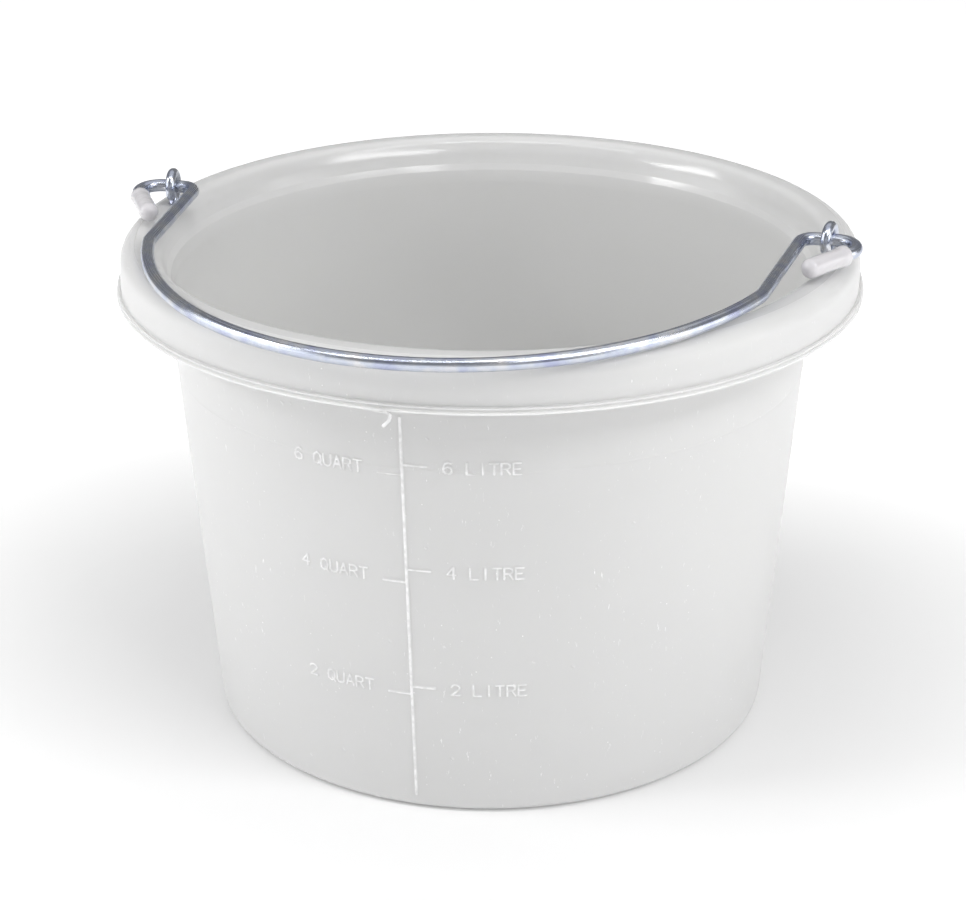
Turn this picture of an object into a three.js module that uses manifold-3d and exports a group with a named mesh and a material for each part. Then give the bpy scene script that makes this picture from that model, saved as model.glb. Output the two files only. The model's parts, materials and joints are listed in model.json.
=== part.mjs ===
// A graduated plastic pail with a turned-down rim and a wire bail.
// Millimetres, +Z up. The origin is the centre of the base, on the surface the pail stands on.
// X is the line of the bail's hinge, -Y is the front, where the graduation line is.

import * as THREE from 'three';
import { mergeVertices } from 'three/addons/utils/BufferGeometryUtils.js';
import Module from 'manifold-3d';

const wasm = await Module();
wasm.setup();

// ---------- driving dimensions ----------

const ROUND_SEGMENTS = 60;
const SMALL_ROUND_SEGMENTS = 24;
const ROD_SEGMENTS = 16;
const ARC_STEP = THREE.MathUtils.degToRad(23);
const GAP = 0.3;
const OVERSHOOT = 1;

// the tapered body
const BASE_RADIUS = 111.9;
const BASE_CORNER = 3.5;
const FLOOR_THICKNESS = 3;
const FLOOR_CORNER = 3;
const WALL_THICKNESS = 2.6;
const WALL_SLOPE = 13.9 / 175.5;

// the rim: an inner slope, a flat top, and a skirt that ends in a lip
const RIM_TOP = 194.35;
const RIM_THICKNESS = 2.6;
const RIM_INNER_EDGE = 130.6;
const RIM_OUTER_EDGE = 142.7;
const RIM_SHOULDER = 7;
const RIM_CREST_ROUND = 2;
const SLOPE_START = 181.4;
const SLOPE_KNUCKLE = 184;
const KNUCKLE_STEP = 0.8;
const UNDERSIDE_START = 182.1;
const UNDERSIDE_ROUND = 2;
const CEILING_INNER_EDGE = 132;
const CEILING_ROUND = 1.2;
const SKIRT_FOOT_RADIUS = 143.2;
const LIP_RADIUS = 145;
const LIP_TOP = 177.9;
const LIP_BOTTOM = 175.5;
const LIP_ROUND = 0.7;

// the bosses that thicken the rim under each eye bolt
const BOSS_WIDTH = 16;
const BOSS_BOTTOM = 184;
const BOSS_SHOULDER = 187.55;
const BOSS_TOP = 192.65;
const BOSS_INNER_RADIUS = 126;
const BOSS_OUTER_RADIUS = 141.7;
const BOSS_SHOULDER_RADIUS = 141.6;
const BOSS_TOP_RADII = [130.9, 138.5];

// the raised graduations: one upright line, litres on its right and quarts on its left
const MARK_HEIGHT = 0.45;
const MARK_ROOT = 1;
const MARK_CENTRE = 2.1;
const MARK_WIDTH = 1.3;
const TICK_LENGTH = 9;
const LINE_BOTTOM = 6;
const LINE_TOP = 165;
const LITRE_TICKS = [54.3, 104.1, 146.6];
const QUART_TICKS = [50.9, 98.7, 142.5];

// the eye bolts and their washers and nuts, all of 4 mm thread
const EYE_X = 132;
const ROD_RADIUS = 2;
const RING_RADIUS = 5;
const RING_SIDES = 10;
const RING_TWIST = THREE.MathUtils.degToRad(9);
const SHANK_END = 177.5;
const WASHER_RADIUS = 4;
const WASHER_THICKNESS = 1;
const NUT_ACROSS_FLATS = 7;
const NUT_THICKNESS = 3.2;

// the bail wire: a bow that follows the rim, two legs, and a hook through each eye
const WIRE_RADIUS = 2.5;
const WIRE_SIDES = 12;
const BAIL_TILT = THREE.MathUtils.degToRad(2.45);
const BOW_CENTRE = 20;
const BOW_HALF_WIDTH = 123.3;
const BOW_REACH = 129.5;
const KNEE_ANGLE = THREE.MathUtils.degToRad(18.3);
const BOW_STATIONS = 28;
const KNEE_RADIUS = 12;
const LEG_X = 122;
const LEG_BEND_RADIUS = 6;
const HOOK_RADIUS = 8;
const HOOK_START = 135;
const HOOK_TURN = THREE.MathUtils.degToRad(123);
const HOOK_TAIL = 20;

// the plastic caps on the wire's ends
const CAP_RADIUS = 4;
const CAP_LENGTH = 22;
const CAP_START = 3;
const CAP_BORE_DEPTH = 18;
const CAP_MOUTH_ROUND = 0.5;
const CAP_TIP_ROUND = 3;

// ---------- worked out from them ----------

const ringCentreZ = RIM_TOP + GAP + RING_RADIUS + ROD_RADIUS;
const eyeHoleRadius = RING_RADIUS - ROD_RADIUS;
const hingeZ = ringCentreZ - eyeHoleRadius + GAP + WIRE_RADIUS;
const outerWallRadius = (z) => BASE_RADIUS + WALL_SLOPE * z;
const innerWallRadius = (z) => outerWallRadius(z) - WALL_THICKNESS;

// ---------- helpers ----------

// Replaces each corner [x, y, radius] of an outline by a round of that radius.
function roundCorners(corners) {
  const points = [];
  corners.forEach(([x, y, radius = 0], index) => {
    const corner = new THREE.Vector2(x, y);
    if (radius === 0) {
      points.push(corner);
      return;
    }
    const before = new THREE.Vector2(...corners[index - 1].slice(0, 2)).sub(corner).normalize();
    const after = new THREE.Vector2(...corners[index + 1].slice(0, 2)).sub(corner).normalize();
    const halfOpening = Math.acos(THREE.MathUtils.clamp(before.dot(after), -1, 1)) / 2;
    const turn = Math.PI - 2 * halfOpening;
    const bisector = before.clone().add(after).normalize();
    const centre = corner.clone().addScaledVector(bisector, radius / Math.sin(halfOpening));
    const start = corner.clone().addScaledVector(before, radius / Math.tan(halfOpening)).sub(centre);
    const handed = Math.sign(before.cross(after)) * -1;
    const steps = Math.max(1, Math.round(turn / ARC_STEP));
    for (let step = 0; step <= steps; step += 1) {
      const swept = start.clone().rotateAround(new THREE.Vector2(), (handed * turn * step) / steps);
      points.push(swept.add(centre));
    }
  });
  return points;
}

function signedVolume(geometry) {
  const position = geometry.attributes.position;
  const [a, b, c] = [new THREE.Vector3(), new THREE.Vector3(), new THREE.Vector3()];
  let volume = 0;
  for (let i = 0; i < geometry.index.count; i += 3) {
    a.fromBufferAttribute(position, geometry.index.getX(i));
    b.fromBufferAttribute(position, geometry.index.getX(i + 1));
    c.fromBufferAttribute(position, geometry.index.getX(i + 2));
    volume += a.dot(b.cross(c)) / 6;
  }
  return volume;
}

// Merges a closed geometry's shared corners and turns its faces outwards.
function closed(geometry) {
  const bare = geometry.clone();
  bare.deleteAttribute('normal');
  bare.deleteAttribute('uv');
  const merged = mergeVertices(bare, 1e-4);
  const corners = Array.from(merged.index.array);
  const kept = [];
  for (let i = 0; i < corners.length; i += 3) {
    const [a, b, c] = corners.slice(i, i + 3);
    if (a !== b && b !== c && c !== a) {
      kept.push(a, b, c);
    }
  }
  merged.setIndex(kept);
  if (signedVolume(merged) < 0) {
    for (let i = 0; i < kept.length; i += 3) {
      [kept[i], kept[i + 1]] = [kept[i + 1], kept[i]];
    }
    merged.setIndex(kept);
  }
  return merged;
}

function toSolid(geometry) {
  const shape = closed(geometry);
  return new wasm.Manifold(
    new wasm.Mesh({
      numProp: 3,
      vertProperties: new Float32Array(shape.attributes.position.array),
      triVerts: new Uint32Array(shape.index.array),
    }),
  );
}

function toGeometry(solid) {
  const mesh = solid.getMesh();
  const geometry = new THREE.BufferGeometry();
  geometry.setAttribute('position', new THREE.BufferAttribute(mesh.vertProperties, 3));
  geometry.setIndex(new THREE.BufferAttribute(mesh.triVerts, 1));
  geometry.computeVertexNormals();
  return geometry;
}

// Revolves an outline of (radius, z) points round the Z axis.
function revolve(outline, segments = ROUND_SEGMENTS) {
  return new THREE.LatheGeometry(outline, segments).rotateX(Math.PI / 2);
}

// A box between two corners.
function block([x0, y0, z0], [x1, y1, z1]) {
  const box = new THREE.BoxGeometry(x1 - x0, y1 - y0, z1 - z0);
  return box.translate((x0 + x1) / 2, (y0 + y1) / 2, (z0 + z1) / 2);
}

// An upright cylinder between two heights.
function post(radius, bottom, top, x = 0, sides = SMALL_ROUND_SEGMENTS) {
  const cylinder = new THREE.CylinderGeometry(radius, radius, top - bottom, sides);
  return cylinder.rotateX(Math.PI / 2).translate(x, 0, (bottom + top) / 2);
}

function named(name, geometry, material) {
  const mesh = new THREE.Mesh(geometry, material);
  mesh.name = name;
  return mesh;
}

// ---------- materials ----------

const polyethylene = () => new THREE.MeshStandardMaterial({ color: 0xe2e2e4, roughness: 0.38 });
const zincSteel = () => new THREE.MeshStandardMaterial({ color: 0xb9bcc6, roughness: 0.28, metalness: 1 });
const capPlastic = () => new THREE.MeshStandardMaterial({ color: 0xeeecee, roughness: 0.3 });

// ---------- the pail body ----------

function pailSection() {
  const skirtInner = SKIRT_FOOT_RADIUS - RIM_THICKNESS;
  const ceiling = RIM_TOP - RIM_THICKNESS;
  return roundCorners([
    [0, 0],
    [BASE_RADIUS, 0, BASE_CORNER],
    [outerWallRadius(UNDERSIDE_START), UNDERSIDE_START, UNDERSIDE_ROUND],
    [CEILING_INNER_EDGE, ceiling, CEILING_ROUND],
    [RIM_OUTER_EDGE - RIM_THICKNESS, ceiling, RIM_SHOULDER - RIM_THICKNESS],
    [skirtInner, LIP_BOTTOM],
    [LIP_RADIUS, LIP_BOTTOM, LIP_ROUND],
    [LIP_RADIUS, LIP_TOP, LIP_ROUND],
    [SKIRT_FOOT_RADIUS, LIP_TOP],
    [RIM_OUTER_EDGE, RIM_TOP, RIM_SHOULDER],
    [RIM_INNER_EDGE, RIM_TOP, RIM_CREST_ROUND],
    [innerWallRadius(SLOPE_KNUCKLE) + KNUCKLE_STEP, SLOPE_KNUCKLE],
    [innerWallRadius(SLOPE_START), SLOPE_START],
    [innerWallRadius(FLOOR_THICKNESS), FLOOR_THICKNESS, FLOOR_CORNER],
    [0, FLOOR_THICKNESS],
  ]);
}

// A ring inside the rim's hollow, from the middle of the wall to the middle of the skirt.
function bossRing() {
  const outline = [
    [BOSS_INNER_RADIUS, BOSS_BOTTOM],
    [BOSS_TOP_RADII[0], BOSS_TOP],
    [BOSS_TOP_RADII[1], BOSS_TOP],
    [BOSS_SHOULDER_RADIUS, BOSS_SHOULDER],
    [BOSS_OUTER_RADIUS, BOSS_BOTTOM],
    [BOSS_INNER_RADIUS, BOSS_BOTTOM],
  ];
  return toSolid(revolve(outline.map(([radius, z]) => new THREE.Vector2(radius, z))));
}

// The skin of the wall that the graduations stand out of.
function markSkin() {
  const outline = [
    [outerWallRadius(LINE_BOTTOM) - MARK_ROOT, LINE_BOTTOM],
    [outerWallRadius(LINE_BOTTOM) + MARK_HEIGHT, LINE_BOTTOM],
    [outerWallRadius(LINE_TOP) + MARK_HEIGHT, LINE_TOP],
    [outerWallRadius(LINE_TOP) - MARK_ROOT, LINE_TOP],
    [outerWallRadius(LINE_BOTTOM) - MARK_ROOT, LINE_BOTTOM],
  ];
  return toSolid(revolve(outline.map(([radius, z]) => new THREE.Vector2(radius, z))));
}

function graduations() {
  const front = -LIP_RADIUS;
  const middle = 0;
  const half = MARK_WIDTH / 2;
  const line = block(
    [MARK_CENTRE - half, front, LINE_BOTTOM - OVERSHOOT],
    [MARK_CENTRE + half, middle, LINE_TOP + OVERSHOOT],
  );
  let marks = toSolid(line);
  const addTick = (fromX, toX, z) => {
    marks = marks.add(toSolid(block([fromX, front, z - half], [toX, middle, z + half])));
  };
  LITRE_TICKS.forEach((z) => addTick(MARK_CENTRE, MARK_CENTRE + TICK_LENGTH, z));
  QUART_TICKS.forEach((z) => addTick(MARK_CENTRE - TICK_LENGTH, MARK_CENTRE, z));
  return marks.intersect(markSkin());
}

function pailBody() {
  let body = toSolid(revolve(pailSection()));
  for (const side of [-1, 1]) {
    const from = side < 0 ? -LIP_RADIUS : BASE_RADIUS;
    const to = side < 0 ? -BASE_RADIUS : LIP_RADIUS;
    const width = BOSS_WIDTH / 2;
    const slab = toSolid(block([from, -width, BOSS_BOTTOM - OVERSHOOT], [to, width, RIM_TOP]));
    const drill = post(ROD_RADIUS + GAP, BOSS_BOTTOM - OVERSHOOT, RIM_TOP + OVERSHOOT, side * EYE_X);
    body = body.add(bossRing().intersect(slab));
    body = body.subtract(toSolid(drill));
  }
  return toGeometry(body.add(graduations()));
}

// ---------- the fastenings ----------

// A ring bent from rod, with a straight shank below it; the ring's centre is the origin.
function eyeBolt() {
  const ring = new THREE.TorusGeometry(RING_RADIUS, ROD_RADIUS, RING_SIDES, SMALL_ROUND_SEGMENTS);
  ring.rotateY(Math.PI / 2);
  const shank = post(ROD_RADIUS, SHANK_END - ringCentreZ, -RING_RADIUS, 0, ROD_SEGMENTS);
  return toGeometry(toSolid(ring).add(toSolid(shank)));
}

function washer() {
  const hole = ROD_RADIUS + GAP;
  const outline = [
    [hole, 0],
    [WASHER_RADIUS, 0],
    [WASHER_RADIUS, WASHER_THICKNESS],
    [hole, WASHER_THICKNESS],
    [hole, 0],
  ];
  return closed(revolve(outline.map(([radius, z]) => new THREE.Vector2(radius, z)), SMALL_ROUND_SEGMENTS));
}

function nut() {
  const corner = NUT_ACROSS_FLATS / Math.sqrt(3);
  const hexagon = toSolid(post(corner, 0, NUT_THICKNESS, 0, 6));
  const bore = toSolid(post(ROD_RADIUS + GAP, -OVERSHOOT, NUT_THICKNESS + OVERSHOOT));
  return toGeometry(hexagon.subtract(bore));
}

// ---------- the bail ----------

// Stations of a path, evenly numbered rather than evenly spaced, so bends get more of them.
class StationPath extends THREE.Curve {
  constructor(stations) {
    super();
    this.stations = stations;
  }

  getUtoTmapping(u) {
    return u;
  }

  getPoint(t, target = new THREE.Vector3()) {
    const place = t * (this.stations.length - 1);
    const index = Math.min(Math.round(place), this.stations.length - 1);
    return target.copy(this.stations[index]);
  }

  getTangent(t, target = new THREE.Vector3()) {
    const last = this.stations.length - 1;
    const index = Math.round(t * last);
    const here = this.stations[index];
    const before = this.stations[Math.max(index - 1, 0)].clone().sub(here).normalize();
    const after = this.stations[Math.min(index + 1, last)].clone().sub(here).normalize();
    return target.copy(after).sub(before).normalize();
  }
}

// Half of the bail's centreline as (x, reach) points, from the middle of the bow to a hook's end.
function halfBail() {
  const hookCorner = HOOK_START + HOOK_RADIUS * Math.tan(HOOK_TURN / 2);
  const tail = HOOK_RADIUS * Math.tan(HOOK_TURN / 2) + HOOK_TAIL;
  const corners = [];
  for (let i = 0; i <= BOW_STATIONS / 2; i += 1) {
    const angle = Math.PI / 2 + ((KNEE_ANGLE - Math.PI / 2) * i) / (BOW_STATIONS / 2);
    const atKnee = i === BOW_STATIONS / 2;
    const x = BOW_HALF_WIDTH * Math.cos(angle);
    corners.push([x, BOW_CENTRE + BOW_REACH * Math.sin(angle), atKnee ? KNEE_RADIUS : 0]);
  }
  corners.push([LEG_X, 0, LEG_BEND_RADIUS]);
  corners.push([hookCorner, 0, HOOK_RADIUS]);
  corners.push([hookCorner + tail * Math.cos(HOOK_TURN), tail * Math.sin(HOOK_TURN)]);
  return roundCorners(corners);
}

function bailWire() {
  const right = halfBail();
  const left = right.slice(1).reverse().map((point) => new THREE.Vector2(-point.x, point.y));
  const stations = [...left, ...right].map((point) => new THREE.Vector3(point.x, -point.y, 0));
  const section = [];
  for (let i = 0; i < WIRE_SIDES; i += 1) {
    const angle = (2 * Math.PI * i) / WIRE_SIDES;
    section.push(new THREE.Vector2(WIRE_RADIUS * Math.cos(angle), WIRE_RADIUS * Math.sin(angle)));
  }
  const sweep = new THREE.ExtrudeGeometry(new THREE.Shape(section), {
    steps: stations.length - 1,
    extrudePath: new StationPath(stations),
  });
  return closed(sweep);
}

// A sleeve with a round closed end; its mouth is at the origin and it points along +Y.
function endCap() {
  const bore = WIRE_RADIUS + GAP;
  const outline = roundCorners([
    [0, CAP_BORE_DEPTH],
    [bore, CAP_BORE_DEPTH],
    [bore, 0],
    [CAP_RADIUS, 0, CAP_MOUTH_ROUND],
    [CAP_RADIUS, CAP_LENGTH, CAP_TIP_ROUND],
    [0, CAP_LENGTH],
  ]);
  return closed(new THREE.LatheGeometry(outline, ROD_SEGMENTS));
}

function placeCap(cap, side) {
  const along = HOOK_RADIUS * Math.tan(HOOK_TURN / 2) + CAP_START;
  const corner = HOOK_START + HOOK_RADIUS * Math.tan(HOOK_TURN / 2);
  const direction = new THREE.Vector2(side * Math.cos(HOOK_TURN), -Math.sin(HOOK_TURN));
  cap.position.set(side * corner + direction.x * along, direction.y * along, 0);
  cap.rotation.z = direction.angle() - Math.PI / 2;
}

// ---------- assembly ----------

const pail = new THREE.Group();
pail.add(named('pail_body', pailBody(), polyethylene()));

const bail = new THREE.Group();
bail.position.z = hingeZ;
bail.rotation.x = BAIL_TILT;
bail.add(named('bail_wire', bailWire(), zincSteel()));
pail.add(bail);

for (const [suffix, side] of [['left', -1], ['right', 1]]) {
  const bolt = named(`eye_bolt_${suffix}`, eyeBolt(), zincSteel());
  bolt.position.set(side * EYE_X, 0, ringCentreZ);
  bolt.rotation.z = -side * RING_TWIST;

  const ring = named(`washer_${suffix}`, washer(), zincSteel());
  ring.position.set(side * EYE_X, 0, BOSS_BOTTOM - GAP - WASHER_THICKNESS);

  const hexNut = named(`nut_${suffix}`, nut(), zincSteel());
  hexNut.position.set(side * EYE_X, 0, ring.position.z - GAP - NUT_THICKNESS);

  const cap = named(`end_cap_${suffix}`, endCap(), capPlastic());
  placeCap(cap, side);

  pail.add(bolt, ring, hexNut);
  bail.add(cap);
}

export default pail;
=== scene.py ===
# %% [markdown]
# # A graduated pail with a wire bail
# A mixing pail is moulded in one shot of natural polyethylene. A wire bail hangs in two small eye
# bolts, and plastic caps cover the wire's sharp ends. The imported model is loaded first, because it
# says where every piece sits, and each visible piece is then made finer around it.

# %% Load the frame
import json
import math

import bmesh
import bpy
import numpy as np
from mathutils import Matrix, Vector, noise


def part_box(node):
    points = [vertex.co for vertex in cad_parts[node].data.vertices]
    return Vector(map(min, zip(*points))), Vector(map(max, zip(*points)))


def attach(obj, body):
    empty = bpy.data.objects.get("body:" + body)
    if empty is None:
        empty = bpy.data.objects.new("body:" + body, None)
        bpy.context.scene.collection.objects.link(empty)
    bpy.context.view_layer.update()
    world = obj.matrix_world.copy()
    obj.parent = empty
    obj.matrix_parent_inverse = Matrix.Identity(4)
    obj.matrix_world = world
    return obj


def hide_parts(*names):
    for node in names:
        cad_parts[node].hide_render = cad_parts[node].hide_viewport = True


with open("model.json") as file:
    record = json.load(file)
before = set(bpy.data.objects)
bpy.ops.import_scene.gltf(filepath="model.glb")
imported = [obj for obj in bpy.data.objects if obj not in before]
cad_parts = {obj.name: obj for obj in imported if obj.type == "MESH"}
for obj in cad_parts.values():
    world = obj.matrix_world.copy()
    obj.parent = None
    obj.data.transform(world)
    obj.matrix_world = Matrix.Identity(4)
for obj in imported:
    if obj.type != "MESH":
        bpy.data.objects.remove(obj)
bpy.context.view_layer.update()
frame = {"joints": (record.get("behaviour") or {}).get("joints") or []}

# %% [markdown]
# ## The measures that everything hangs on
# Blender works in metres, and a workshop drawing is in millimetres, so one factor converts them.
# The pail's width and height, the eyes and the hinge line are read from the model. The slopes and
# thicknesses are the mould's own, and only this file's finer surfaces need them again.

# %% Read the driving sizes from the frame
MM = 0.001

_, pail_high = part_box("pail_body")
lip_radius = pail_high.x / MM
rim_top = pail_high.z / MM
hinge = Vector(frame["joints"][0]["pos_m"]) / MM
bolt_low, bolt_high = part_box("eye_bolt_right")
eye_x = (bolt_low.x + bolt_high.x) / 2 / MM
shank_end = bolt_low.z / MM
bolt_top = bolt_high.z / MM
washer_low, washer_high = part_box("washer_right")
nut_low, nut_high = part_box("nut_right")
print(f"lip radius {lip_radius:.1f}, rim top {rim_top:.2f} mm")
print(f"eyes at x = {eye_x:.1f}, hinge at z = {hinge.z:.2f} mm")

# %% The mould's own slopes and thicknesses, in mm
base_radius = lip_radius - 33.1
wall_slope = 13.9 / 175.5
wall_thickness = 2.6
floor_thickness = 3.0
rim_thickness = 2.6
gap = 0.3


def outer_wall(z):
    """The outside radius of the tapered wall at a height."""
    return base_radius + wall_slope * z


def inner_wall(z):
    return outer_wall(z) - wall_thickness


print(f"wall at the base {outer_wall(0):.1f}, under the rim {outer_wall(175):.1f} mm")

# %% [markdown]
# ## Turning a drawing's corners into moulded rounds
# A mould has no sharp corners: every edge is cut with a small radius, and it is these rounds that
# catch the light. An outline is written with its corners and a radius for each, and this helper
# swaps each corner for an arc. A bevel modifier could do it later, but here each radius is exact.

# %% Helper: round the corners of an outline
arc_step = math.radians(9)


def rounded(corners):
    """Corners (x, y) or (x, y, radius) become a list of points with arcs in place of the corners."""
    points = []
    for index, corner in enumerate(corners):
        here = Vector(corner[:2])
        radius = corner[2] if len(corner) > 2 else 0
        if radius == 0:
            points.append(here)
            continue
        before = (Vector(corners[index - 1][:2]) - here).normalized()
        after = (Vector(corners[index + 1][:2]) - here).normalized()
        half_opening = before.angle(after) / 2
        turn = math.pi - 2 * half_opening
        centre = here + (before + after).normalized() * radius / math.sin(half_opening)
        start = here + before * radius / math.tan(half_opening) - centre
        cross = before.x * after.y - before.y * after.x
        handed = -1 if cross > 0 else 1
        steps = max(2, round(turn / arc_step))
        for step in range(steps + 1):
            swept = Matrix.Rotation(handed * turn * step / steps, 2) @ start
            points.append(centre + swept)
    return points


print("a square with 1 mm rounds has", len(rounded([(0, 0), (4, 0, 1), (4, 4, 1), (0, 4)])), "points")

# %% [markdown]
# ## Two ways of making a moulded or bent part
# A pail, a washer, a nut and a cap are all an outline turned round an axis, and a wire and a bolt are
# a round section carried along a line. Screw and curve modifiers make these too. Writing the rows of
# points directly keeps every mesh closed, and lets a radius change with the angle, as a nut's does,
# or along the length, as a thread's does. Both helpers also lay out coordinates in millimetres, so
# that draw lines can later run along a wire.

# %% Helper: one closed mesh from rows of points
def skin(name, rows, along, around):
    """Joins rings of points into one closed mesh; a ring of a single point closes an end."""
    points = []
    rings = []
    for row in rows:
        rings.append(range(len(points), len(points) + len(row)))
        points.extend(row)
    faces = []
    places = []
    sides = max(len(row) for row in rows)
    for index in range(len(rings) - 1):
        lower, upper = rings[index], rings[index + 1]
        for side in range(sides):
            a, b = lower[side % len(lower)], lower[(side + 1) % len(lower)]
            c, d = upper[(side + 1) % len(upper)], upper[side % len(upper)]
            face = list(dict.fromkeys((a, b, c, d)))
            if len(face) < 3:
                continue
            faces.append(face)
            step = {a: (0, 0), b: (0, 1), c: (1, 1), d: (1, 0)}
            spots = [step[corner] for corner in face]
            places.append([(along[index + row], around * (side + turn) / sides) for row, turn in spots])
    mesh = bpy.data.meshes.new(name)
    mesh.from_pydata([Vector(point) * MM for point in points], [], faces)
    layer = mesh.uv_layers.new(name="millimetres")
    flat = [value for face in places for place in face for value in place]
    layer.data.foreach_set("uv", flat)
    tidy = bmesh.new()
    tidy.from_mesh(mesh)
    bmesh.ops.remove_doubles(tidy, verts=tidy.verts, dist=1e-7)
    bmesh.ops.recalc_face_normals(tidy, faces=tidy.faces)
    tidy.to_mesh(mesh)
    tidy.free()
    mesh.shade_smooth()
    piece = bpy.data.objects.new(name, mesh)
    bpy.context.scene.collection.objects.link(piece)
    return piece


print("skin: rings of points in, one closed mesh out")


# %% Helper: turn an outline round Z
def turned(name, outline, segments):
    """Turns (radius, z) points round Z. A radius may be a function of the angle."""
    rows = []
    along = [0.0]
    for index, (radius, z) in enumerate(outline):
        if not callable(radius) and abs(radius) < 1e-6:
            rows.append([(0.0, 0.0, z)])
        else:
            row = []
            for segment in range(segments):
                angle = 2 * math.pi * segment / segments
                reach = radius(angle) if callable(radius) else radius
                row.append((reach * math.cos(angle), reach * math.sin(angle), z))
            rows.append(row)
        if index:
            along.append(along[-1] + math.dist(rows[-1][0], rows[-2][0]))
    widest = max(math.hypot(*row[0][:2]) for row in rows)
    return skin(name, rows, along, 2 * math.pi * widest)


print("turned: for the pail, washers, nuts and caps")


# %% Helper: carry a round section along a line
def swept(name, line, radius, sides=24, round_ends=False):
    """A rod along points in mm. The radius is a number, or a function of the length and the angle."""
    line = [Vector(point) for point in line]
    radii = radius if callable(radius) else (lambda length, angle: radius)
    lengths = [0.0]
    for before, after in zip(line, line[1:]):
        lengths.append(lengths[-1] + (after - before).length)
    tangents = []
    for index in range(len(line)):
        ahead = line[min(index + 1, len(line) - 1)] - line[index]
        behind = line[index] - line[max(index - 1, 0)]
        tangents.append((ahead.normalized() + behind.normalized()).normalized())
    side = tangents[0].orthogonal().normalized()
    rows = []
    along = []

    def add_ring(centre, tangent, length, scale=1.0):
        across = tangent.cross(side)
        row = []
        for step in range(sides):
            angle = 2 * math.pi * step / sides
            reach = radii(length, angle) * scale
            row.append(centre + (side * math.cos(angle) + across * math.sin(angle)) * reach)
        rows.append(row)
        along.append(length)

    dome = [math.radians(angle) for angle in (72, 48, 24)] if round_ends else []
    rows.append([line[0] - tangents[0] * (radii(0, 0) if round_ends else 0)])
    along.append(0.0)
    for angle in dome:
        add_ring(line[0] - tangents[0] * radii(0, 0) * math.sin(angle), tangents[0], 0.0, math.cos(angle))
    for centre, tangent, length in zip(line, tangents, lengths):
        side = (side - tangent * side.dot(tangent)).normalized()
        add_ring(centre, tangent, length)
    end, last = lengths[-1], tangents[-1]
    for angle in reversed(dome):
        add_ring(line[-1] + last * radii(end, 0) * math.sin(angle), last, end, math.cos(angle))
    rows.append([line[-1] + last * (radii(end, 0) if round_ends else 0)])
    along.append(end)
    return skin(name, rows, along, 2 * math.pi * radii(0, 0))


print("swept: for the wire, the bolts, the drill and the flash on the lip")

# %% [markdown]
# ## The pail's shell
# The real shell is one injection moulding: a wall about 2.6 mm thick that leans out, so that it
# leaves the mould, and a rim that turns outwards and down into a skirt with a small lip. The rim is
# what makes a thin pail stiff. A boss under the rim takes each eye bolt. The outline is drawn once
# and turned, with a moulding step of a tenth of a millimetre round the wall where two mould rings meet.
# The underside is set in a little, so that the pail stands on a ring and doesn't rock on its gate mark.

# %% The shell's outline
skirt_foot = lip_radius - 1.8
rim_outer = lip_radius - 2.3
rim_inner = lip_radius - 14.4
lip_bottom = rim_top - 18.85
lip_height = 2.4
lip_groove = 1.1
slope_start = rim_top - 12.95
mould_line = 145.0
mould_step = 0.1
foot_width = 9.0
foot_depth = 0.7
wall_row = 3.0


def shell_outline():
    ceiling = rim_top - rim_thickness
    slope_foot = slope_start + 0.7
    wall_foot = outer_wall(0)
    inner_foot = inner_wall(floor_thickness)
    return rounded([
        (0, foot_depth + 0.4),
        (3.5, foot_depth + 0.4, 0.3),
        (4.5, foot_depth, 0.3),
        (wall_foot - foot_width - 1, foot_depth, 0.5),
        (wall_foot - foot_width, 0, 0.5),
        (wall_foot, 0, 3.5),
        *[(outer_wall(z), z) for z in np.arange(5, mould_line - 2, wall_row)],
        (outer_wall(mould_line - 0.5), mould_line - 0.5, 0.4),
        (outer_wall(mould_line) + mould_step, mould_line, 0.2),
        (outer_wall(mould_line + 0.6), mould_line + 0.6, 0.4),
        *[(outer_wall(z), z) for z in np.arange(mould_line + 3, slope_foot - 5, wall_row)],
        (outer_wall(slope_foot), slope_foot, 2),
        (rim_inner + 1.4, ceiling, 1.2),
        (rim_outer - rim_thickness, ceiling, 4.4),
        (skirt_foot - rim_thickness, lip_bottom, 0.4),
        (lip_radius, lip_bottom, 0.3),
        (lip_radius, lip_bottom + 0.7, 0.2),
        (lip_radius - lip_groove, lip_bottom + 1.0, 0.2),
        (lip_radius - lip_groove, lip_bottom + 1.7, 0.2),
        (lip_radius - 0.3, lip_bottom + 1.9, 0.15),
        (lip_radius - 0.3, lip_bottom + lip_height, 0.15),
        (skirt_foot, lip_bottom + lip_height + 0.1, 0.5),
        (rim_outer + 0.55, rim_top - 11, 20),
        (rim_outer, rim_top, 6.5),
        (rim_inner, rim_top, 5),
        (rim_inner - 3.4, slope_start + 7.6, 12),
        (inner_wall(slope_start + 2.6) + 1.5, slope_start + 2.6, 0.5),
        (inner_wall(slope_start) + 0.35, slope_start, 0.6),
        (inner_wall(slope_start - 5), slope_start - 5, 12),
        (inner_foot, floor_thickness, 4),
        (0, floor_thickness),
    ])


shell = turned("pail_shell", shell_outline(), 240)
print("shell:", len(shell.data.polygons), "faces")

# %% [markdown]
# The bolts go down through a boss that fills the hollow of the rim for 16 mm of its length. It is a
# short stretch of a turned ring, joined to the shell, and then both are drilled. Boolean modifiers
# do the joining and drilling, as the mould and the drill do, and are applied so that one mesh is left.

# %% The bosses and the bolt holes
boss_bottom = washer_high.z / MM + gap
boss_width = 16.0
hole_radius = 2.3


def applied(piece, operation, other):
    """Joins another closed mesh to a piece, or cuts it away."""
    cutter = piece.modifiers.new("cut", "BOOLEAN")
    cutter.operation = operation
    cutter.solver = "MANIFOLD"
    cutter.object = other
    shown = piece.evaluated_get(bpy.context.evaluated_depsgraph_get())
    mesh = bpy.data.meshes.new_from_object(shown)
    piece.modifiers.remove(cutter)
    piece.data = mesh
    bpy.data.objects.remove(other)


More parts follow.
